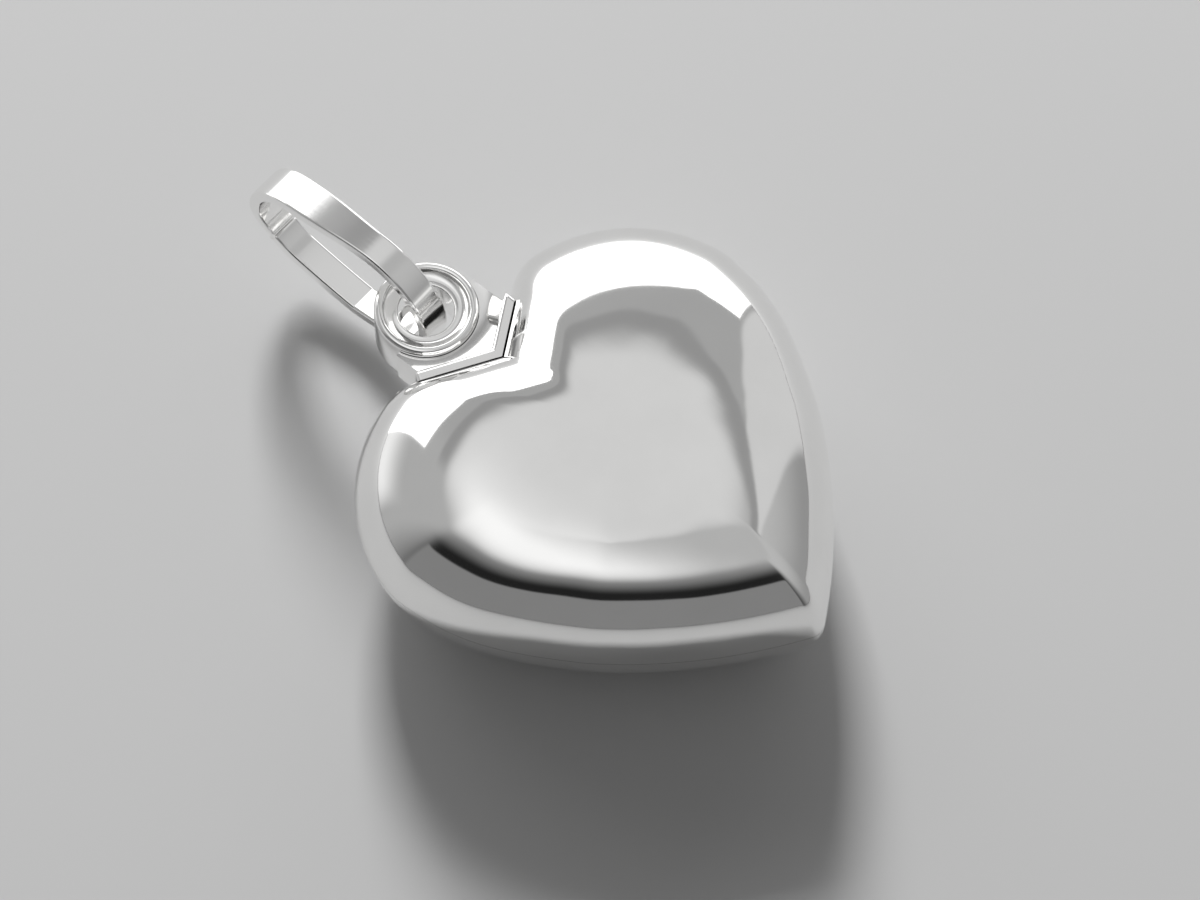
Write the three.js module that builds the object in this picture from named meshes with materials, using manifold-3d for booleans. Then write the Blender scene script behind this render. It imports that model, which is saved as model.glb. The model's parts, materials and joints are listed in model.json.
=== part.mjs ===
// Heart pendant: a hollow puffed heart of two struck shells, with a saddle in its cleft, an eye ring
// and a ribbon bail. Millimetres, lying front up: X across the heart, Y from the tip to the bail, Z up.
// The pieces are drawn about the middle of the heart, with the girdle in the plane z = 0, and the
// finished pendant is then set on the table at z = 0, on the crown of its back.
import * as THREE from "three";
import { mergeVertices } from "three/addons/utils/BufferGeometryUtils.js";
import Module from "manifold-3d";

// Heart outline, as tangent arcs on its right half
const lobeRadius = 5.5;
const lobeX = 2.5; // lobe centre from the centre line, so the heart is 16 mm wide
const lobeY = 0.54;
const crownAngle = 76; // where the lobe starts to turn down into the cleft
const cleftRadius = 1.8; // round shoulder at the mouth of the cleft
const cleftSlope = 36; // slope of the cleft's straight walls
const flankAngle = -28.3; // where the lobe runs into the flank
const flankRadius = 19;
const tipRadius = 0.62;

// Domed shells
const domeHeight = 3.44; // girdle to crown, before its flat
const domePower = 3.6; // 2 is a round dome, more is a flatter crown with a tighter shoulder
const crownY = -0.3; // crown of the dome on the centre line
const crownFlat = 0.5; // share of the way out to the corners of the flat that the pendant lies on
const crownRound = 7; // radius that the rings near the crown settle to
const creaseFade = 0.6; // share of the way out from the crown at which the creases are fully formed
const wall = 0.35;
const seam = 0.04; // line of solder between the two rims
const solderGap = 0.05; // between soldered pieces
const seamFilletWidth = 0.14;
const seamFilletHeight = 0.5;

// Saddle, a V in the cleft whose low step cradles the ring and whose high step edges the heart
const wingLength = 2.6; // along the cleft's wall, from the centre line
const lowStepHeight = 0.88; // half its thickness
const highStepWidth = 0.3; // off the cleft's wall
const highStepHeight = 1.45;
const saddleBevel = 0.08;
const hornWall = 0.14; // outside the ring's rim
const hornDrop = 0.35; // from the middle of the eye down to the horns' tops
const solderLump = { along: 0.3, across: 0.34, up: 0.8 };

// Eye ring
const eyeStandoff = 0.918; // from the cleft's walls to the ring's rim
const boreRadius = 0.91;
const rimRadius = 1.68;
const rimHeight = 0.98; // half its thickness at the raised rim
const rimBead = 0.17; // radius of the rim's rounded top
const lipHeight = 0.8; // half its thickness at the bore

// Bail, an oval loop of four arcs with the ribbon's width across it
const swingReach = 2.0; // from the middle of the eye to the axis that the bail swings about
const nearBend = 2.05; // inside, about that axis, so the bail runs true through the eye as it swings
const farBend = 1.55; // inside, where the chain sits
const bailSpan = 3.22; // between the centres of the two bends
const bowRadius = 6; // inside of the legs
const ribbonThickness = 0.42;
const ribbonNear = 1.0; // width in the eye and along the lower leg
const ribbonFar = 1.28; // width at the chain's end of the upper leg
const ribbonBevel = 0.09;
const bailLift = -4; // degrees that the bail stands out of the heart's plane as it lies
const jointAngle = -45; // where the ribbon's ends meet, on the far bend
const jointGap = 0.1;

const { degToRad, lerp, smoothstep } = THREE.MathUtils;
const wasm = await Module();
wasm.setup();

// Points along an arc, both ends included
function arc(x, y, radius, from, to, steps) {
  return Array.from({ length: steps + 1 }, (_, i) => {
    const angle = lerp(from, to, i / steps);
    return new THREE.Vector2(x + radius * Math.cos(angle), y + radius * Math.sin(angle));
  });
}

const mirrored = (points) => points.map((p) => new THREE.Vector2(-p.x, p.y)).reverse();

// The heart's outline, counter-clockwise from the bottom of the cleft, moved inwards by inset
function heartOutline(inset) {
  const crown = degToRad(crownAngle);
  const flank = degToRad(flankAngle);
  const wallEnd = degToRad(90 + cleftSlope);
  const cleftX = lobeX + (lobeRadius - cleftRadius) * Math.cos(crown);
  const cleftY = lobeY + (lobeRadius - cleftRadius) * Math.sin(crown);
  const flankX = lobeX - (flankRadius - lobeRadius) * Math.cos(flank);
  const flankY = lobeY - (flankRadius - lobeRadius) * Math.sin(flank);
  const tipReach = flankRadius - tipRadius;
  const tipY = flankY - Math.sqrt(tipReach ** 2 - flankX ** 2);
  const tipAngle = Math.atan2(tipY - flankY, -flankX);

  const tip = arc(0, tipY, tipRadius - inset, -Math.PI / 2, tipAngle, 3);
  const side = arc(flankX, flankY, flankRadius - inset, tipAngle, flank, 13).slice(1);
  const lobe = arc(lobeX, lobeY, lobeRadius - inset, flank, crown, 18).slice(1);
  const shoulder = arc(cleftX, cleftY, cleftRadius - inset, crown, wallEnd, 6).slice(1);
  const top = shoulder.at(-1);
  const bottom = new THREE.Vector2(0, top.y - top.x * Math.tan(degToRad(cleftSlope)));
  const middle = top.clone().lerp(bottom, 0.5);
  const right = [...tip, ...side, ...lobe, ...shoulder, middle];
  return [bottom, ...mirrored(right.slice(1)), ...right];
}

const cleftBottom = heartOutline(0)[0];
const wallDirection = new THREE.Vector2(1, 0).rotateAround(new THREE.Vector2(), degToRad(cleftSlope));
const wallNormal = new THREE.Vector2(-wallDirection.y, wallDirection.x);

// A point of the right-hand cleft wall, some way along it and some way off it towards the eye
function cleftPoint(along, off) {
  return cleftBottom.clone().addScaledVector(wallDirection, along).addScaledVector(wallNormal, off);
}

// The same distance off the wall, on the centre line
const cleftAxis = (off) => new THREE.Vector2(0, cleftBottom.y + off / wallDirection.x);
const eyeY = cleftAxis(rimRadius + eyeStandoff).y;

// Rings of a dome from the three corners of its flat crown to the girdle. Towards the crown they turn
// round, so that the creases of cleft and tip die away.
function domeRings(inset, base, height, side) {
  const count = 11;
  const crown = new THREE.Vector2(0, crownY);
  const spokes = heartOutline(inset).map((edge) => edge.sub(crown));
  const ringAt = (climb, from) => {
    const share = Math.cos(climb) ** (2 / domePower);
    const formed = smoothstep(share, 0, creaseFade);
    const z = side * lerp(base, height, Math.sin(climb));
    return from.map((spoke) => {
      const length = share * lerp(crownRound, spoke.length(), formed);
      const point = spoke.clone().setLength(length).add(crown);
      return new THREE.Vector3(point.x, point.y, z);
    });
  };
  const top = Math.acos(crownFlat ** (domePower / 2));
  const corners = spokes.filter((_, i) => i % (spokes.length / 3) === 0);
  const rings = Array.from({ length: count }, (_, i) => ringAt((top * i) / count, spokes));
  return [ringAt(top, corners), ...rings.reverse()];
}

// A closed surface through rings, from one triangle to another. A ring may have a share of its
// neighbour's points.
function loft(rings) {
  const points = rings.flat();
  const starts = rings.map((_, i) => rings.slice(0, i).flat().length);
  const last = starts.at(-1);
  const faces = [0, 1, 2, last, last + 2, last + 1];
  for (let r = 0; r + 1 < rings.length; r++) {
    const [near, far] = [rings[r].length, rings[r + 1].length];
    const count = Math.max(near, far);
    for (let i = 0; i < count; i++) {
      const next = (i + 1) % count;
      const [a, b] = [i, next].map((n) => starts[r] + (Math.round((n * near) / count) % near));
      const [c, d] = [i, next].map((n) => starts[r + 1] + (Math.round((n * far) / count) % far));
      if (c !== d) faces.push(a, c, d);
      if (a !== b) faces.push(a, d, b);
    }
  }
  return new THREE.BufferGeometry().setFromPoints(points).setIndex(faces);
}

function extrude(points, halfThickness, bevel, hole) {
  const shape = new THREE.Shape(points);
  if (hole) shape.holes.push(new THREE.Path(hole));
  const depth = 2 * (halfThickness - bevel);
  return new THREE.ExtrudeGeometry(shape, {
    depth,
    bevelEnabled: bevel > 0,
    bevelThickness: bevel,
    bevelSize: bevel,
    bevelOffset: -bevel,
    bevelSegments: 2,
  }).translate(0, 0, -depth / 2);
}

// A geometry as a solid with its faces turned outwards
function solidOf(geometry) {
  const bare = new THREE.BufferGeometry().setAttribute("position", geometry.getAttribute("position"));
  const merged = mergeVertices(bare.setIndex(geometry.index), 1e-4);
  const triVerts = new Uint32Array(merged.index.array);
  const vertProperties = merged.attributes.position.array;
  const made = new wasm.Manifold(new wasm.Mesh({ numProp: 3, vertProperties, triVerts }));
  return made.volume() > 0 ? made : new wasm.Manifold(flipped(vertProperties, triVerts));
}

function flipped(vertProperties, triVerts) {
  return new wasm.Mesh({ numProp: 3, vertProperties, triVerts: triVerts.slice().reverse() });
}

function silver(name, roughness) {
  return new THREE.MeshStandardMaterial({ name, color: 0xe6e6e4, metalness: 1, roughness });
}

function meshOf(name, solid, roughness) {
  const { vertProperties, triVerts } = solid.getMesh();
  const geometry = new THREE.BufferGeometry()
    .setAttribute("position", new THREE.BufferAttribute(vertProperties, 3))
    .setIndex(new THREE.BufferAttribute(triVerts, 1));
  geometry.computeVertexNormals();
  const mesh = new THREE.Mesh(geometry, silver(name, roughness));
  mesh.name = name;
  return mesh;
}

// One half of the heart: the outer dome, the flat rim and the inner dome
function shell(side) {
  const outer = domeRings(0, seam / 2, domeHeight, side);
  const inner = domeRings(wall, seam / 2, domeHeight - wall, side);
  return solidOf(loft([...outer, ...inner.reverse()]));
}

// The whole heart as one solid, grown by a gap, to cut what sits against it
function heartSolid(grown) {
  const front = domeRings(-grown, 0, domeHeight + grown, 1);
  const back = domeRings(-grown, 0, domeHeight + grown, -1);
  return solidOf(loft([...front, ...back.slice(0, -1).reverse()]));
}

function seamSolder() {
  const inset = wall + solderGap;
  const fillet = extrude(heartOutline(inset), seamFilletHeight / 2, 0, heartOutline(inset + seamFilletWidth));
  return solidOf(fillet);
}

// The saddle's two steps, drawn from inside the heart and cut to the heart and to the ring's round
function saddle(heart) {
  const sunk = -2 * highStepWidth;
  const wing = [cleftPoint(wingLength, sunk), cleftPoint(wingLength, highStepWidth)];
  const hornX = rimRadius + hornWall;
  const horn = [new THREE.Vector2(hornX, wing[1].y), new THREE.Vector2(hornX, eyeY - hornDrop)];
  const low = [cleftAxis(sunk), ...wing, ...horn, ...mirrored(horn), ...mirrored(wing)];
  const high = [cleftAxis(sunk), ...wing, cleftAxis(highStepWidth), ...mirrored(wing)];
  const lowStep = solidOf(extrude(low, lowStepHeight, saddleBevel));
  const highStep = solidOf(extrude(high, highStepHeight, saddleBevel));
  const round = rimRadius + solderGap;
  const cradle = wasm.Manifold.cylinder(4 * rimHeight, round, round, 64, true);
  return lowStep.add(highStep).subtract(cradle.translate([0, eyeY, 0])).subtract(heart);
}

// The solder that ran out past the end of a wing, on the lobe's shoulder
function saddleSolder(heart, side) {
  const { along, across, up } = solderLump;
  const centre = cleftPoint(wingLength, 0);
  const lump = new THREE.SphereGeometry(1, 16, 12).scale(along, across, up);
  lump.rotateZ(degToRad(cleftSlope)).translate(centre.x, centre.y, 0);
  const end = wallDirection.dot(centre) + solderGap;
  const kept = solidOf(lump).trimByPlane([wallDirection.x, wallDirection.y, 0], end).subtract(heart);
  return side > 0 ? kept : kept.mirror([1, 0, 0]);
}

// The ring's section, from the bore over the lip and the dished face to the rim, above the girdle
function ringProfile() {
  const rim = arc(rimRadius - rimBead, rimHeight - rimBead, rimBead, Math.PI, 0, 6);
  const lip = [
    [0, -0.08],
    [0.05, 0],
    [0.12, 0],
    [0.17, -0.06],
  ].map(([out, up]) => new THREE.Vector2(boreRadius + out, lipHeight + up));
  return [...lip, ...rim];
}

function eyeRing() {
  const upper = ringProfile();
  const lower = upper.map((p) => new THREE.Vector2(p.x, -p.y)).reverse();
  const ring = new THREE.LatheGeometry([...upper, ...lower, upper[0]], 44).rotateX(Math.PI / 2);
  return solidOf(ring.translate(0, eyeY, 0));
}

// The loop's outline about the middle of its near bend, moved outwards by off. Each leg is an arc that
// runs into both bends.
function bailOutline(off) {
  const nearReach = bowRadius - nearBend;
  const farReach = bowRadius - farBend;
  const bowAlong = (bailSpan ** 2 + nearReach ** 2 - farReach ** 2) / (2 * bailSpan);
  const bowDown = Math.sqrt(nearReach ** 2 - bowAlong ** 2);
  const nearTurn = Math.atan2(bowDown, -bowAlong);
  const farTurn = Math.atan2(bowDown, bailSpan - bowAlong);
  const round = 2 * Math.PI;
  return [
    ...arc(bailSpan, 0, farBend + off, -farTurn, farTurn, 9),
    ...arc(bowAlong, -bowDown, bowRadius + off, farTurn, nearTurn, 7).slice(1),
    ...arc(0, 0, nearBend + off, nearTurn, round - nearTurn, 15).slice(1),
    ...arc(bowAlong, bowDown, bowRadius + off, round - nearTurn, round - farTurn, 7).slice(1, -1),
  ];
}

function bailLoop() {
  const loop = extrude(bailOutline(ribbonThickness), ribbonNear / 2, ribbonBevel, bailOutline(0));
  const across = new THREE.Vector3(1, 0, 0);
  const along = new THREE.Vector3(0, 1, 0);
  loop.applyMatrix4(new THREE.Matrix4().makeBasis(along, new THREE.Vector3(0, 0, 1), across));
  const position = loop.getAttribute("position");
  for (let i = 0; i < position.count; i++) {
    const upper = smoothstep(position.getZ(i), -farBend, 0);
    const width = lerp(ribbonNear, ribbonFar, upper * smoothstep(position.getY(i), 0, bailSpan));
    position.setX(i, (position.getX(i) * width) / ribbonNear);
  }
  return solidOf(loop);
}

// A thin slab across the ribbon where its ends meet
function jointSlab(thickness) {
  const slab = wasm.Manifold.cube([2 * ribbonFar, 4 * ribbonThickness, thickness], true);
  const middle = farBend + ribbonThickness / 2;
  return slab.translate([0, middle, 0]).rotate([jointAngle, 0, 0]).translate([0, bailSpan, 0]);
}

function heartPieces() {
  const heart = heartSolid(solderGap);
  return [
    meshOf("front_shell", shell(1), 0.08),
    meshOf("back_shell", shell(-1), 0.08),
    meshOf("seam_solder", seamSolder(), 0.3),
    meshOf("saddle", saddle(heart), 0.16),
    meshOf("saddle_solder_left", saddleSolder(heart, -1), 0.3),
    meshOf("saddle_solder_right", saddleSolder(heart, 1), 0.3),
    meshOf("eye_ring", eyeRing(), 0.16),
  ];
}

function bailPieces() {
  const loop = bailLoop();
  const placed = (solid) => solid.rotate([bailLift, 0, 0]).translate([0, eyeY + swingReach, 0]);
  const solder = loop.intersect(jointSlab(jointGap - solderGap));
  return [
    meshOf("bail", placed(loop.subtract(jointSlab(jointGap))), 0.16),
    meshOf("bail_solder", placed(solder), 0.3),
  ];
}

// Sets the pendant on the table, with the middle of its box over the origin
function layDown(group) {
  const box = new THREE.Box3().setFromObject(group);
  const middle = box.getCenter(new THREE.Vector3());
  group.position.set(-middle.x, -middle.y, -box.min.z);
}

const pendant = new THREE.Group();
pendant.add(...heartPieces(), ...bailPieces());
layDown(pendant);

const part = new THREE.Group();
part.add(pendant);
export default part;
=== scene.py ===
"""Heart pendant in polished silver, lying front up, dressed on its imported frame.

Pieces are modelled in millimetres about the middle of the heart, with the girdle at z = 0 and the eye
towards +Y, and are then set in place in metres.
"""
import json
import math

import bmesh
import bpy
from mathutils import Matrix, Vector

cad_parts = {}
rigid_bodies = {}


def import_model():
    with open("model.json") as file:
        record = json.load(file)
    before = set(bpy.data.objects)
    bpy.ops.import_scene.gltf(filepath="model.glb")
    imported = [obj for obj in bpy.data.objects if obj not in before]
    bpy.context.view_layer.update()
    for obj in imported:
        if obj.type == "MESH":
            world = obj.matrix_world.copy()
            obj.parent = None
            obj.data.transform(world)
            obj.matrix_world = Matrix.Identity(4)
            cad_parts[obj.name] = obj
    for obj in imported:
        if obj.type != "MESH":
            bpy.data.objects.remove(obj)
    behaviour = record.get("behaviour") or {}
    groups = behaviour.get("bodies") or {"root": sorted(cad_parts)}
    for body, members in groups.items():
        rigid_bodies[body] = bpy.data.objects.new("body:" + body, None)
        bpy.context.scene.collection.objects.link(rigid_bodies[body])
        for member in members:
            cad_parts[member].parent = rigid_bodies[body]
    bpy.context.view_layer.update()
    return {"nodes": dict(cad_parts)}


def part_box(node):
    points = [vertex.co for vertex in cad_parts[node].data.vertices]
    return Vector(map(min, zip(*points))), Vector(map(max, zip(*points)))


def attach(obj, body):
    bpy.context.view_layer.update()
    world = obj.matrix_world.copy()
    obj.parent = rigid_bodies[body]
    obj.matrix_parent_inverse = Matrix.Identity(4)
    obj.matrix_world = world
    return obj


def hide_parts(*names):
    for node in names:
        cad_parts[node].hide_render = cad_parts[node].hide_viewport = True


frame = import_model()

MM = 0.001

# Heart outline, as tangent arcs on its right half
LOBE_RADIUS = 5.5
LOBE_X, LOBE_Y = 2.5, 0.54
CROWN_ANGLE = math.radians(76)
CLEFT_RADIUS = 1.8
CLEFT_SLOPE = math.radians(30.5)
FLANK_ANGLE = math.radians(-28.3)
FLANK_RADIUS = 19.0
TIP_RADIUS = 0.62
TIP_STEPS, FLANK_STEPS, LOBE_STEPS, SHOULDER_STEPS = 5, 16, 20, 7
EASED_LENGTH = 3.2  # of the outline, either side of the point where lobe and flank meet
EASED_PASSES = 14

# Dome of each half
DOME_HEIGHT = 3.3
DOME_POWER = 3.95  # of the dome's section; 2 is an ellipse, and more is fuller
CROWN = Vector((0, -1.1, 0))
CROWN_ROUND = 7.0  # radius of the round shape that the rings take towards the crown
DOME_RINGS = 21
RING_CROWDING = 1.6  # above 1, the rings lie closer together towards the crown
CROWN_PASSES = 200
CREASE_FADE = 0.6  # share of the way out at which a ring has the outline's full shape
CLEFT_FOLD = (0.25, 0.8)  # share of the way out where the fold starts, and where it is sharp
TIP_FOLD = (0.8, 1.0)
WALL = 0.35
SEAM = 0.012

# Saddle
WING_LENGTH = {1: 2.0, -1: 2.6}  # along the cleft's wall, by side; the right wing is filed off at the horn
BED_REACH = 2.2
BED_LOW, BED_HIGH = 0.72, 1.7  # above the girdle, by the ring and at the end of the reach
HIGH_STEP_WIDTH = 0.05
HIGH_STEP_HEIGHT = 1.75
HIGH_STEP_BEVEL = 0.14
BED_CURVE = 1.7
BED_BEVEL = 0.04
FOOT_HEIGHT = 2.0  # above the girdle, past the top of the bed that it trims
FOOT_BEVEL = 0.05
SUNK = -0.6  # how far off the wall the saddle starts, inside the heart
HORN_WALL = 0.14
HORN_DROP = 0.35
SOLDER_GAP = 0.04  # between the saddle and the heart

# Solder fill on the right wing's end, its outline about its own middle
FILL_OUTLINE = [(-0.46, 0.1), (-0.3, -0.55), (0.42, -0.36), (0.44, 0.62), (0.1, 0.45)]
FILL_PLACE = (1.42, 5.25, 0.62)
FILL_THICKNESS = 0.8
FILL_SLOPE = math.radians(16)
FILL_BEVEL = 0.16

# Solder lumps
LUMP_UNEVENNESS = 0.018
LUMP_SEED = 7

# Eye ring
EYE_Y = 7.0996
BORE_RADIUS = 0.91
RIM_RADIUS = 1.68
RIM_HEIGHT = 0.98
RIM_BEAD = 0.17
LIP_HEIGHT = 0.8
LIP_ROUND = 0.06
LIP_END = math.radians(72)  # where the lip's round runs out into the dish
DISH_DEPTH = 0.03
DISH_CURVE = 1.5
CRADLE_GAP = 0.02

# Bail
SWING_REACH = 2.0
NEAR_BEND, FAR_BEND = 2.05, 1.7
BAIL_SPAN = 3.07
BOW_RADIUS = 20.0
KINK_Y, KINK_SLOPE = 0.9, 0.24  # where the lower leg turns up to the eye, and how steeply
KINK_DEPTH = (0.9, 1.5)  # below the swing's axis, between the near bend and the lower leg
KINK_FADE = (0.4, 1.8)  # past the swing's axis, where the kink dies away in the near bend
RIBBON_THICKNESS = 0.42
RIBBON_NEAR, RIBBON_FAR = 1.0, 1.28
RIBBON_BEVEL = 0.09
FAR_STEPS, LEG_STEPS, NEAR_STEPS, END_STEPS = 22, 16, 30, 8
BAIL_LIFT = math.radians(-1.2)
JOINT_ANGLE = math.radians(-45)
JOINT_GAP = 0.06

# Studio
CAMERA_HEIGHT = 64  # degrees above the table
CAMERA_DISTANCE = 0.1901
CAMERA_AIM = (0.000214, 0.0000745)  # right of and above the middle of the heart, as seen
LENS = 180
TABLE_GREY = 0.56
ROOM_LIGHT = 0.2
BACKDROP = 0.68

# Points of the outline that other pieces sit against
lobe_reach = LOBE_RADIUS - CLEFT_RADIUS
shoulder = Vector((LOBE_X, LOBE_Y)) + lobe_reach * Vector((math.cos(CROWN_ANGLE), math.sin(CROWN_ANGLE)))
flank = Vector((LOBE_X, LOBE_Y)) - (FLANK_RADIUS - LOBE_RADIUS) * Vector(
    (math.cos(FLANK_ANGLE), math.sin(FLANK_ANGLE))
)
TIP_Y = flank.y - math.sqrt((FLANK_RADIUS - TIP_RADIUS) ** 2 - flank.x**2)
TIP_ANGLE = math.atan2(TIP_Y - flank.y, -flank.x)
wall_along = Vector((math.cos(CLEFT_SLOPE), math.sin(CLEFT_SLOPE)))
wall_off = Vector((-wall_along.y, wall_along.x))
wall_top = shoulder + CLEFT_RADIUS * wall_off
CLEFT_Y = wall_top.y - wall_top.x * math.tan(CLEFT_SLOPE)

# Where the middle of the heart lies: the eye and the girdle are the CAD nodes' own
eye_low, eye_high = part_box("eye_ring")
girdle_z = (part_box("front_shell")[0].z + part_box("back_shell")[1].z) / 2
MIDDLE = Vector((0, (eye_low.y + eye_high.y) / 2 - EYE_Y * MM, girdle_z))


def smoothstep(value, low, high):
    t = min(max((value - low) / (high - low), 0), 1)
    return t * t * (3 - 2 * t)


def cleft_point(along, off):
    """A point of the right-hand cleft wall, along it and off it towards the eye."""
    point = Vector((0, CLEFT_Y)) + along * wall_along + off * wall_off
    return (point.x, point.y)


def wing_point(side, past, off):
    """A point by the end of a wing of the saddle, past that end and off the wall."""
    x, y = cleft_point(WING_LENGTH[side] + past, off)
    return (side * x, y)


def cleft_axis(off):
    return (0, CLEFT_Y + off / wall_along.x)


# Modelling helpers


def clear_selection():
    if bpy.context.object and bpy.context.object.mode != "OBJECT":
        bpy.ops.object.mode_set(mode="OBJECT")
    bpy.ops.object.select_all(action="DESELECT")


def select_only(piece):
    clear_selection()
    bpy.context.view_layer.objects.active = piece
    piece.select_set(True)


def edit(piece):
    select_only(piece)
    bpy.ops.object.mode_set(mode="EDIT")


def pick(test):
    """Selects the vertices that pass a test, in edit mode."""
    bpy.ops.mesh.select_mode(type="VERT")
    bpy.ops.mesh.select_all(action="DESELECT")
    mesh = bmesh.from_edit_mesh(bpy.context.object.data)
    for vertex in mesh.verts:
        vertex.select_set(test(vertex.co))
    mesh.select_flush(True)
    bmesh.update_edit_mesh(bpy.context.object.data)


def start_point(x, y, z=0):
    """A new piece that is one selected vertex, in edit mode."""
    clear_selection()
    bpy.ops.mesh.primitive_plane_add(size=1)
    bpy.ops.object.mode_set(mode="EDIT")
    bpy.ops.mesh.select_all(action="SELECT")
    bpy.ops.mesh.merge(type="CENTER")
    bpy.ops.transform.translate(value=(x, y, z))
    return bpy.context.object


def draw_to(*points):
    """Extrudes the selected vertex from point to point."""
    for point in points:
        mesh = bmesh.from_edit_mesh(bpy.context.object.data)
        here = next(v.co.copy() for v in mesh.verts if v.select)
        bpy.ops.mesh.extrude_region_move(TRANSFORM_OT_translate={"value": Vector(point) - here})


def swing(centre, angle, steps, axis=(0, 0, 1)):
    """Spins the selection about an axis; the operator's own angle runs clockwise."""
    bpy.ops.mesh.spin(steps=steps, angle=-angle, center=centre, axis=axis)


def modify(piece, kind, **settings):
    """Adds a modifier and applies it."""
    select_only(piece)
    modifier = piece.modifiers.new(kind.title(), kind)
    for name, value in settings.items():
        setattr(modifier, name, value)
    bpy.ops.object.modifier_apply(modifier=modifier.name)


def heal(piece):
    """Closes the seam of a spun piece and turns its faces outwards."""
    edit(piece)
    bpy.ops.mesh.select_all(action="SELECT")
    bpy.ops.mesh.remove_doubles(threshold=1e-4)
    bpy.ops.mesh.normals_make_consistent(inside=False)
    bpy.ops.object.mode_set(mode="OBJECT")


def turn_section(piece, steps):
    """Mirrors a half section in the girdle, spins it round the upright axis and moves it to the eye."""
    modify(piece, "MIRROR", use_axis=(False, False, True), use_mirror_merge=True, merge_threshold=1e-4)
    edit(piece)
    bpy.ops.mesh.select_all(action="SELECT")
    swing((0, 0, 0), 2 * math.pi, steps)
    bpy.ops.object.mode_set(mode="OBJECT")
    heal(piece)
    piece.location.y = EYE_Y


def set_in_place(piece, name, material, body, nodes, smooth=35):
    """Brings a finished piece to its place in metres, and has it stand for its CAD nodes."""
    select_only(piece)
    bpy.ops.object.transform_apply(location=True, rotation=True, scale=True)
    piece.scale = (MM, MM, MM)
    piece.location = MIDDLE
    bpy.ops.object.transform_apply(location=True, rotation=True, scale=True)
    bpy.ops.object.shade_smooth_by_angle(angle=math.radians(smooth))
    piece.name = piece.data.name = name
    piece.data.materials.clear()
    piece.data.materials.append(material)
    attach(piece, body)
    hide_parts(*nodes)
    return piece


# Finishes


def silver(name, tint, roughness, scratches, ripple):
    """Silver with a fine network of polishing marks, a slight ripple and cloudy patches in its gloss."""
    material = bpy.data.materials.new(name)
    material.use_nodes = True
    nodes, links = material.node_tree.nodes, material.node_tree.links
    shader = nodes["Principled BSDF"]
    shader.inputs["Metallic"].default_value = 1.0
    place = nodes.new("ShaderNodeTexCoord")

    cloud = nodes.new("ShaderNodeTexNoise")
    cloud.inputs["Scale"].default_value = 420
    cloud.inputs["Detail"].default_value = 4
    links.new(place.outputs["Object"], cloud.inputs["Vector"])

    gloss = nodes.new("ShaderNodeMapRange")
    gloss.inputs["To Min"].default_value = roughness * 0.7
    gloss.inputs["To Max"].default_value = roughness * 1.4
    links.new(cloud.outputs["Fac"], gloss.inputs["Value"])
    links.new(gloss.outputs["Result"], shader.inputs["Roughness"])

    colour = nodes.new("ShaderNodeValToRGB")
    colour.color_ramp.elements[0].color = (*(c * 0.965 for c in tint), 1)
    colour.color_ramp.elements[1].color = (*tint, 1)
    colour.color_ramp.elements[0].position = 0.3
    colour.color_ramp.elements[1].position = 0.6
    links.new(cloud.outputs["Fac"], colour.inputs["Fac"])
    links.new(colour.outputs["Color"], shader.inputs["Base Color"])

    stretch = nodes.new("ShaderNodeMapping")
    stretch.inputs["Scale"].default_value = (9000, 1100, 2600)
    stretch.inputs["Rotation"].default_value = (0.3, 0.2, 0.6)
    links.new(place.outputs["Object"], stretch.inputs["Vector"])
    marks = nodes.new("ShaderNodeTexNoise")
    marks.inputs["Scale"].default_value = 1.0
    marks.inputs["Detail"].default_value = 3
    links.new(stretch.outputs["Vector"], marks.inputs["Vector"])

    wave = nodes.new("ShaderNodeTexNoise")
    wave.inputs["Scale"].default_value = 300
    wave.inputs["Detail"].default_value = 1
    links.new(place.outputs["Object"], wave.inputs["Vector"])

    ripples = nodes.new("ShaderNodeBump")
    ripples.inputs["Strength"].default_value = 1.0
    ripples.inputs["Distance"].default_value = ripple
    links.new(wave.outputs["Fac"], ripples.inputs["Height"])
    scuffs = nodes.new("ShaderNodeBump")
    scuffs.inputs["Strength"].default_value = 1.0
    scuffs.inputs["Distance"].default_value = scratches
    links.new(marks.outputs["Fac"], scuffs.inputs["Height"])
    links.new(ripples.outputs["Normal"], scuffs.inputs["Normal"])
    links.new(scuffs.outputs["Normal"], shader.inputs["Normal"])
    return material


mirror_silver = silver("mirror_silver", (0.94, 0.938, 0.93), roughness=0.06, scratches=1.5e-7, ripple=5e-5)
bright_silver = silver("bright_silver", (0.93, 0.927, 0.92), roughness=0.11, scratches=6e-7, ripple=3e-6)
solder_silver = silver("solder_silver", (0.88, 0.875, 0.86), roughness=0.2, scratches=3e-6, ripple=2e-5)


# Heart


def ring_of(piece):
    """The selected vertices, in edit mode."""
    mesh = bmesh.from_edit_mesh(piece.data)
    return [v for v in mesh.verts if v.select]


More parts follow.
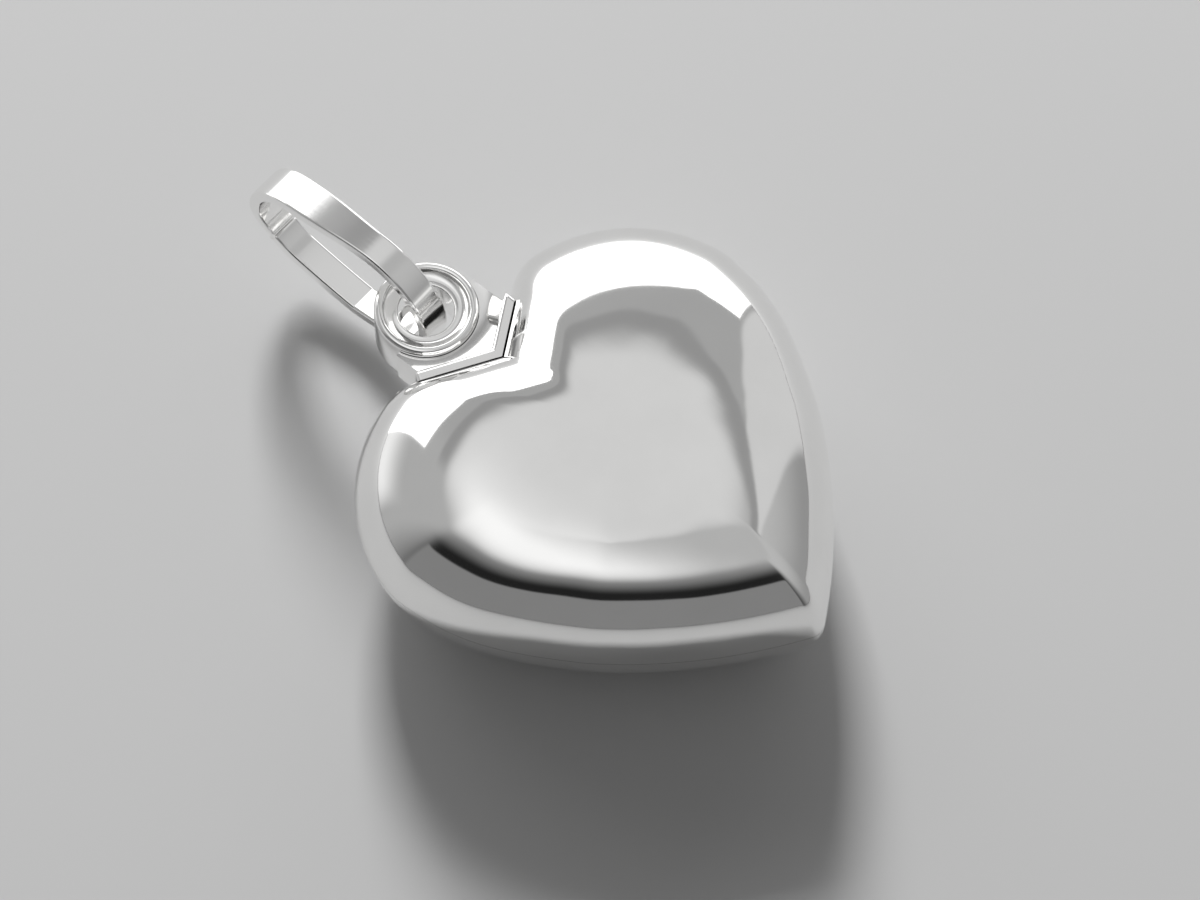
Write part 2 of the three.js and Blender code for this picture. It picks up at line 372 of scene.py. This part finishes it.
def heart_cage():
    """The whole heart as a cage: the outline spun from its arcs, drawn up in rings to the crown."""
    piece = start_point(0, TIP_Y - TIP_RADIUS)
    swing((0, TIP_Y, 0), TIP_ANGLE + math.pi / 2, TIP_STEPS)
    swing((*flank, 0), FLANK_ANGLE - TIP_ANGLE, FLANK_STEPS)
    swing((LOBE_X, LOBE_Y, 0), CROWN_ANGLE - FLANK_ANGLE, LOBE_STEPS)
    swing((*shoulder, 0), math.pi / 2 + CLEFT_SLOPE - CROWN_ANGLE, SHOULDER_STEPS)
    draw_to((wall_top.x / 2, (wall_top.y + CLEFT_Y) / 2, 0), (0, CLEFT_Y, 0))
    outwards = Vector((math.cos(FLANK_ANGLE), math.sin(FLANK_ANGLE), 0))
    joint = Vector((*flank, 0)) + FLANK_RADIUS * outwards
    pick(lambda co: (co - joint).length < EASED_LENGTH)
    bpy.ops.mesh.vertices_smooth(factor=0.5, repeat=EASED_PASSES)
    bpy.ops.object.mode_set(mode="OBJECT")
    modify(piece, "MIRROR", use_axis=(True, False, False), use_mirror_merge=True, merge_threshold=1e-3)

    edit(piece)
    bpy.ops.mesh.select_all(action="SELECT")
    mesh = bmesh.from_edit_mesh(piece.data)
    reach = mesh.verts.layers.float.new("reach")
    for vertex in mesh.verts:
        vertex[reach] = (vertex.co - CROWN).length
    bmesh.update_edit_mesh(piece.data)
    for step in range(1, DOME_RINGS):
        bpy.ops.mesh.extrude_region_move()
        draw_in(piece, math.pi / 2 * (1 - (1 - step / DOME_RINGS) ** RING_CROWDING))
    bpy.ops.mesh.fill_grid(span=len(ring_of(piece)) // 4)
    bpy.ops.mesh.select_less()
    bpy.ops.mesh.vertices_smooth(factor=0.5, repeat=CROWN_PASSES)
    bpy.ops.mesh.select_all(action="SELECT")
    bpy.ops.mesh.normals_make_consistent(inside=False)
    crease_folds(piece)
    bpy.ops.object.mode_set(mode="OBJECT")
    return piece


def draw_in(piece, climb):
    """Lifts the selected ring and draws it in towards the crown, rounder the nearer it comes."""
    mesh = bmesh.from_edit_mesh(piece.data)
    reach = mesh.verts.layers.float["reach"]
    share = math.cos(climb) ** (2 / DOME_POWER)
    formed = smoothstep(share, 0, CREASE_FADE)
    for vertex in ring_of(piece):
        spoke = vertex.co - CROWN
        spoke.z = 0
        length = share * (CROWN_ROUND * (1 - formed) + vertex[reach] * formed)
        vertex.co = CROWN + spoke.normalized() * length
        vertex.co.z = DOME_HEIGHT * math.sin(climb)
    bmesh.update_edit_mesh(piece.data)


def crease_folds(piece):
    """Keeps the folds at cleft and tip sharp at the girdle, and lets them die away up the dome."""
    mesh = bmesh.from_edit_mesh(piece.data)
    crease = mesh.edges.layers.float.get("crease_edge") or mesh.edges.layers.float.new("crease_edge")
    for e in mesh.edges:
        a, b = (v.co for v in e.verts)
        if abs(a.x) < 1e-3 and abs(b.x) < 1e-3:
            share = math.sqrt(1 - (max(a.z, b.z) / DOME_HEIGHT) ** 2) ** (2 / DOME_POWER)
            first, full = CLEFT_FOLD if a.y > CROWN.y else TIP_FOLD
            e[crease] = smoothstep(share, first, full)
    bmesh.update_edit_mesh(piece.data)


def heart_shells():
    """Front and back halves: the smoothed heart cut along its girdle, with the wall's thickness."""
    whole = heart_cage()
    modify(whole, "MIRROR", use_axis=(False, False, True), use_mirror_merge=True, merge_threshold=1e-3)
    modify(whole, "SUBSURF", levels=2, render_levels=2)
    halves = []
    for side in (1, -1):
        clear_selection()
        half = whole.copy()
        half.data = whole.data.copy()
        bpy.context.scene.collection.objects.link(half)
        edit(half)
        bpy.ops.mesh.select_all(action="SELECT")
        bpy.ops.mesh.bisect(plane_co=(0, 0, side * SEAM / 2), plane_no=(0, 0, -side), clear_outer=True)
        bpy.ops.object.mode_set(mode="OBJECT")
        modify(half, "SOLIDIFY", thickness=WALL, offset=-1)
        halves.append(half)
    front, back = halves
    set_in_place(front, "heart_front", mirror_silver, "heart", ["front_shell"])
    set_in_place(back, "heart_back", mirror_silver, "heart", ["back_shell"])
    return whole


# Eye ring


def eye_ring():
    """The ring's section, lip, dished face and rim bead, spun about the bore."""
    bead_r, bead_z = RIM_RADIUS - RIM_BEAD, RIM_HEIGHT - RIM_BEAD
    lip_r = BORE_RADIUS + LIP_ROUND
    lip_z = LIP_HEIGHT - 2 * LIP_ROUND
    piece = start_point(BORE_RADIUS, 0, 0)
    for step in range(7):
        turn = math.pi + (LIP_END - math.pi) * step / 6
        dish_r, dish_z = lip_r + LIP_ROUND * math.cos(turn), lip_z + LIP_ROUND * math.sin(turn)
        draw_to((dish_r, 0, dish_z))
    for step in range(1, 11):
        out = step / 10
        draw_to((
            dish_r + (bead_r - RIM_BEAD - dish_r) * out, 0,
            dish_z + (bead_z - dish_z) * out**DISH_CURVE - DISH_DEPTH * math.sin(math.pi * out),
        ))
    for step in range(1, 11):
        turn = math.pi * (1 - step / 10)
        draw_to((bead_r + RIM_BEAD * math.cos(turn), 0, bead_z + RIM_BEAD * math.sin(turn)))
    draw_to((RIM_RADIUS, 0, 0))
    bpy.ops.object.mode_set(mode="OBJECT")
    turn_section(piece, 96)
    set_in_place(piece, "eye", bright_silver, "heart", ["eye_ring"], smooth=50)


# Saddle


def plate(outline, half_height, bevel):
    """A flat plate of a closed outline, thickened and with its edges broken."""
    piece = start_point(*outline[0])
    draw_to(*[(x, y, 0) for x, y in outline[1:]])
    bpy.ops.mesh.select_all(action="SELECT")
    bpy.ops.mesh.edge_face_add()
    bpy.ops.transform.translate(value=(0, 0, -half_height))
    bpy.ops.mesh.extrude_region_move(TRANSFORM_OT_translate={"value": (0, 0, 2 * half_height)})
    bpy.ops.mesh.select_all(action="SELECT")
    bpy.ops.mesh.normals_make_consistent(inside=False)
    bpy.ops.object.mode_set(mode="OBJECT")
    corner = math.radians(40)
    modify(piece, "BEVEL", width=bevel, segments=4, limit_method="ANGLE", angle_limit=corner)
    return piece


def bed():
    """The low step, turned about the eye: low round the ring, and sweeping up to the high step."""
    cradle = RIM_RADIUS + CRADLE_GAP
    piece = start_point(cradle, 0, 0)
    for step in range(13):
        out = step / 12
        draw_to((cradle + BED_REACH * out, 0, BED_LOW + (BED_HIGH - BED_LOW) * out**BED_CURVE))
    draw_to((cradle + BED_REACH, 0, 0))
    bpy.ops.object.mode_set(mode="OBJECT")
    turn_section(piece, 128)
    return piece


def saddle(whole):
    """The low step that cradles the ring and the high step along the lobes, cut to the heart."""
    horn_x, horn_top = RIM_RADIUS + HORN_WALL, EYE_Y - HORN_DROP
    left_out, left_in = (wing_point(-1, 0, off) for off in (HIGH_STEP_WIDTH, SUNK))
    right_out, right_in = (
        (horn_x, cleft_axis(off)[1] + horn_x * math.tan(CLEFT_SLOPE)) for off in (HIGH_STEP_WIDTH, SUNK)
    )
    foot = plate([
        (horn_x, horn_top), (-horn_x, horn_top), (-horn_x, left_out[1]), left_in,
        cleft_axis(SUNK), right_in,
    ], FOOT_HEIGHT, FOOT_BEVEL)
    high = plate([
        cleft_axis(HIGH_STEP_WIDTH), left_out, left_in, cleft_axis(SUNK), right_in, right_out,
    ], HIGH_STEP_HEIGHT, HIGH_STEP_BEVEL)
    low = bed()
    modify(whole, "DISPLACE", strength=SOLDER_GAP, mid_level=0)
    modify(low, "BOOLEAN", operation="INTERSECT", object=foot, solver="EXACT")
    corner = math.radians(50)
    modify(low, "BEVEL", width=BED_BEVEL, segments=2, limit_method="ANGLE", angle_limit=corner)
    modify(low, "BOOLEAN", operation="UNION", object=high, solver="EXACT")
    modify(low, "BOOLEAN", operation="DIFFERENCE", object=whole, solver="EXACT")
    for tool in (foot, high, whole):
        bpy.data.objects.remove(tool)
    set_in_place(low, "saddle_v", bright_silver, "heart", ["saddle"], smooth=10)


def solder_fill():
    """The broad fill on the right wing's end, which slopes down to the ring."""
    piece = plate(FILL_OUTLINE, FILL_THICKNESS / 2, FILL_BEVEL)
    piece.location = FILL_PLACE
    piece.rotation_euler.x = -FILL_SLOPE
    return piece


def solder_lump(name, node, side, lumps, fills=()):
    """Solder that ran out past the end of a wing and set in small uneven lumps."""
    parts = list(fills)
    for along, off, up, size in lumps:
        clear_selection()
        bpy.ops.mesh.primitive_ico_sphere_add(
            subdivisions=4, radius=1, location=(*wing_point(side, along, off), up)
        )
        lump = bpy.context.object
        lump.scale = size
        lump.rotation_euler.z = side * CLEFT_SLOPE
        bpy.ops.object.transform_apply(location=True, rotation=True, scale=True)
        edit(lump)
        bpy.ops.mesh.select_all(action="SELECT")
        bpy.ops.transform.vertex_random(offset=LUMP_UNEVENNESS, seed=LUMP_SEED)
        bpy.ops.mesh.vertices_smooth(factor=0.5, repeat=3)
        bpy.ops.object.mode_set(mode="OBJECT")
        parts.append(lump)
    clear_selection()
    for lump in parts:
        lump.select_set(True)
    bpy.context.view_layer.objects.active = parts[0]
    bpy.ops.object.join()
    set_in_place(parts[0], name, solder_silver, "heart", [node], smooth=80)


# Bail


def bail():
    """The ribbon bent round its four arcs, from one end of the joint to the other."""
    near_reach, far_reach = BOW_RADIUS - NEAR_BEND, BOW_RADIUS - FAR_BEND
    bow_along = (BAIL_SPAN**2 + near_reach**2 - far_reach**2) / (2 * BAIL_SPAN)
    bow_down = math.sqrt(near_reach**2 - bow_along**2)
    near_turn = math.atan2(bow_down, -bow_along)
    far_turn = math.atan2(bow_down, BAIL_SPAN - bow_along)
    middle = FAR_BEND + RIBBON_THICKNESS / 2
    gap = JOINT_GAP / middle
    begin = JOINT_ANGLE + gap / 2
    clear_selection()
    bpy.ops.mesh.primitive_plane_add(
        size=1,
        location=(0, BAIL_SPAN + middle * math.cos(begin), middle * math.sin(begin)),
        rotation=(begin, 0, 0),
    )
    piece = bpy.context.object
    piece.scale = (RIBBON_NEAR, RIBBON_THICKNESS, 1)
    bpy.ops.object.transform_apply(location=True, rotation=True, scale=True)
    edit(piece)
    bpy.ops.mesh.select_all(action="SELECT")
    across = (1, 0, 0)
    swing((0, BAIL_SPAN, 0), far_turn - begin, FAR_STEPS, across)
    swing((0, bow_along, -bow_down), near_turn - far_turn, LEG_STEPS, across)
    swing((0, 0, 0), 2 * (math.pi - near_turn), NEAR_STEPS, across)
    swing((0, bow_along, bow_down), near_turn - far_turn, LEG_STEPS, across)
    swing((0, BAIL_SPAN, 0), far_turn + JOINT_ANGLE - gap / 2, END_STEPS, across)
    mesh = bmesh.from_edit_mesh(piece.data)
    for vertex in mesh.verts:
        widen = smoothstep(vertex.co.y, 0, BAIL_SPAN) * smoothstep(vertex.co.z, -FAR_BEND, 0)
        vertex.co.x *= 1 + (RIBBON_FAR / RIBBON_NEAR - 1) * widen
        turned = smoothstep(-vertex.co.z, *KINK_DEPTH) * (1 - smoothstep(-vertex.co.y, *KINK_FADE))
        vertex.co.z += KINK_SLOPE * max(0, KINK_Y - vertex.co.y) * turned
    bmesh.update_edit_mesh(piece.data)
    bpy.ops.mesh.select_all(action="SELECT")
    bpy.ops.mesh.normals_make_consistent(inside=False)
    bpy.ops.object.mode_set(mode="OBJECT")
    corner = math.radians(60)
    modify(piece, "BEVEL", width=RIBBON_BEVEL, segments=4, limit_method="ANGLE", angle_limit=corner)
    piece.rotation_euler.x = BAIL_LIFT
    piece.location.y = EYE_Y + SWING_REACH
    set_in_place(piece, "bail_loop", bright_silver, "bail", ["bail"], smooth=10)


whole_heart = heart_shells()
eye_ring()
saddle(whole_heart)
solder_lump("solder_left", "saddle_solder_left", -1, [
    (-0.25, -0.1, 1.0, (0.5, 0.1, 0.16)),
    (0.5, -0.15, 0.8, (0.21, 0.1, 0.13)),
    (0.05, 0.0, -0.6, (0.3, 0.14, 0.4)),
])
solder_lump("solder_right", "saddle_solder_right", 1, [
    (0.05, 0.0, -0.6, (0.3, 0.14, 0.4)),
], [solder_fill()])
bail()
for node in ("seam_solder", "bail_solder"):
    solid = frame["nodes"][node]
    solid.data.materials.clear()
    solid.data.materials.append(solder_silver)


# Studio

away = Vector((0.7513, 0.66, 0))
right = Vector((0.66, -0.7513, 0))


def towards(azimuth, elevation):
    """A direction by its turn to the right of the view and its height above the table."""
    a, e = math.radians(azimuth), math.radians(elevation)
    flat = math.cos(a) * away + math.sin(a) * right
    return math.cos(e) * flat + math.sin(e) * Vector((0, 0, 1))


def plain(name, grey):
    material = bpy.data.materials.new(name)
    material.use_nodes = True
    shader = material.node_tree.nodes["Principled BSDF"]
    shader.inputs["Base Color"].default_value = (grey, grey, grey, 1)
    shader.inputs["Roughness"].default_value = 0.9
    shader.inputs["Specular IOR Level"].default_value = 0.0
    return material


def table():
    clear_selection()
    bpy.ops.mesh.primitive_plane_add(size=3)
    piece = bpy.context.object
    piece.name = "table"
    piece.data.materials.append(plain("pale_table", TABLE_GREY))


def softbox(name, place, facing, width, height, radiance, mirrored=True):
    """A soft lamp of an even brightness, square to a direction that it stands in."""
    clear_selection()
    bpy.ops.object.light_add(type="AREA")
    lamp = bpy.context.object
    lamp.name = name
    lamp.data.shape = "RECTANGLE"
    lamp.data.size, lamp.data.size_y = width, height
    lamp.data.energy = radiance * math.pi * width * height
    lamp.visible_glossy = mirrored
    lamp.matrix_world = Matrix.Translation(Vector((MIDDLE.x, MIDDLE.y, 0)) + place) @ (
        facing.to_track_quat("Z", "Y").to_matrix().to_4x4()
    )


def window(azimuth, distance, begin, end, height, radiance):
    """A tall soft window on the table, square to one heading; its sizes are shares of its distance."""
    facing, sideways = towards(azimuth, 0), towards(azimuth + 90, 0)
    middle = facing + (begin + end) / 2 * sideways + Vector((0, 0, height / 2))
    softbox("window", distance * middle, facing, (end - begin) * distance, height * distance, radiance)


class RoomShade:
    """The grey that the silver sees in each direction: panels laid over one another on a plain wall."""

    def __init__(self, tree, grey):
        self.nodes, self.links = tree.nodes, tree.links
        place = self.nodes.new("ShaderNodeTexCoord")
        self.direction = place.outputs["Generated"]
        level = self.vector("MULTIPLY", self.direction, (1, 1, 0))
        self.heading = self.vector("NORMALIZE", level.outputs["Vector"]).outputs["Vector"]
        height = self.nodes.new("ShaderNodeSeparateXYZ")
        self.links.new(self.direction, height.inputs["Vector"])
        self.height = height.outputs["Z"]
        self.grey = self.nodes.new("ShaderNodeValue").outputs[0]
        self.grey.default_value = grey

    def vector(self, operation, first, second=None):
        node = self.nodes.new("ShaderNodeVectorMath")
        node.operation = operation
        self.links.new(first, node.inputs[0])
        if second is not None:
            node.inputs[1].default_value = second
        return node

    def ease(self, value, none, full):
        """0 at one value, 1 at the other, and smooth between them."""
        node = self.nodes.new("ShaderNodeMapRange")
        node.interpolation_type = "SMOOTHSTEP"
        rising = none < full
        node.inputs["From Min"].default_value = min(none, full)
        node.inputs["From Max"].default_value = max(none, full)
        node.inputs["To Min"].default_value = 0 if rising else 1
        node.inputs["To Max"].default_value = 1 if rising else 0
        self.links.new(value, node.inputs["Value"])
        return node.outputs["Result"]

    def lay(self, grey, *masks):
        """Lays a grey over what is there, where all the masks are 1."""
        cover = masks[0]
        for mask in masks[1:]:
            both = self.nodes.new("ShaderNodeMath")
            both.operation = "MULTIPLY"
            self.links.new(cover, both.inputs[0])
            self.links.new(mask, both.inputs[1])
            cover = both.outputs[0]
        mix = self.nodes.new("ShaderNodeMix")
        self.links.new(cover, mix.inputs["Factor"])
        self.links.new(self.grey, mix.inputs["A"])
        mix.inputs["B"].default_value = grey
        self.grey = mix.outputs["Result"]

    def across(self, azimuth, half, soft):
        """Headings within half a width of an azimuth, with soft sides."""
        turn = self.vector("DOT_PRODUCT", self.heading, towards(azimuth, 0)).outputs["Value"]
        return self.ease(turn, math.cos(math.radians(half + soft)), math.cos(math.radians(half)))

    def above(self, none, full):
        return self.ease(self.height, math.sin(math.radians(none)), math.sin(math.radians(full)))

    def overhead(self, azimuth, none, full):
        """The part of the sky that leans towards an azimuth."""
        lean = self.vector("DOT_PRODUCT", self.direction, towards(azimuth, 0)).outputs["Value"]
        return self.ease(lean, none, full)


def surroundings():
    """A plain grey room with a pale ceiling, a dark gap behind the camera and a white sheet overhead."""
    world = bpy.context.scene.world or bpy.data.worlds.new("room")
    bpy.context.scene.world = world
    world.use_nodes = True
    nodes, links = world.node_tree.nodes, world.node_tree.links
    room = nodes["Background"]

    shade = RoomShade(world.node_tree, 0.3)  # plain wall
    shade.lay(0.5, shade.across(95, 35, 25), shade.above(5, 60))  # right wall
    shade.lay(0.42, shade.across(-65, 25, 30))  # left wall
    shade.lay(0.38, shade.across(0, 38, 10))  # far wall
    shade.lay(0.62, shade.across(49, 10, 2), shade.above(56, 53))  # pale strip beside the window
    shade.lay(0.46, shade.above(58, 66))  # ceiling
    shade.lay(0.66, shade.across(-10, 30, 40), shade.above(56, 60))  # paler ceiling over the window
    shade.lay(0.3, shade.across(5, 50, 12), shade.above(51, 53), shade.above(58, 55))  # strip above it
    shade.lay(0.015, shade.across(-165, 42, 36), shade.above(66, 44))  # dark gap behind the camera
    shade.lay(0.22, shade.across(-162, 50, 8), shade.above(38.5, 36))  # grey card in the gap
    shade.lay(0.9, shade.across(-60, 8, 16), shade.above(32, 4))  # glow left of the window
    shade.lay(1.0, shade.overhead(-115, -0.1, 0.22), shade.above(56, 74))  # white sheet overhead

    path = nodes.new("ShaderNodeLightPath")
    seen = nodes.new("ShaderNodeMix")
    seen.inputs["A"].default_value = ROOM_LIGHT
    seen.inputs["B"].default_value = BACKDROP
    links.new(path.outputs["Is Camera Ray"], seen.inputs["Factor"])
    through = nodes.new("ShaderNodeMath")
    through.operation = "MAXIMUM"
    links.new(path.outputs["Is Glossy Ray"], through.inputs[0])
    links.new(path.outputs["Is Transmission Ray"], through.inputs[1])
    strength = nodes.new("ShaderNodeMix")
    links.new(through.outputs[0], strength.inputs["Factor"])
    links.new(seen.outputs["Result"], strength.inputs["A"])
    links.new(shade.grey, strength.inputs["B"])
    room.inputs["Color"].default_value = (1, 1, 1, 1)
    links.new(strength.outputs["Result"], room.inputs["Strength"])


def camera():
    bpy.ops.object.camera_add()
    view = bpy.context.object
    back = -towards(0, -CAMERA_HEIGHT)
    up = back.cross(right)
    aim = MIDDLE + CAMERA_AIM[0] * right + CAMERA_AIM[1] * up
    place = Matrix((right, up, back)).transposed().to_4x4()
    place.translation = aim + CAMERA_DISTANCE * back
    view.matrix_world = place
    view.data.sensor_width = 36
    view.data.lens = LENS
    view.data.clip_start = 0.01
    bpy.context.scene.camera = view


table()
window(azimuth=-26, distance=0.3, begin=-0.5, end=1.9, height=1.0, radiance=1.3)
key_side = towards(-8, 30)
softbox("key", 0.5 * key_side, key_side, width=0.12, height=0.12, radiance=69, mirrored=False)
surroundings()
camera()
bpy.context.scene.view_settings.view_transform = "Standard"
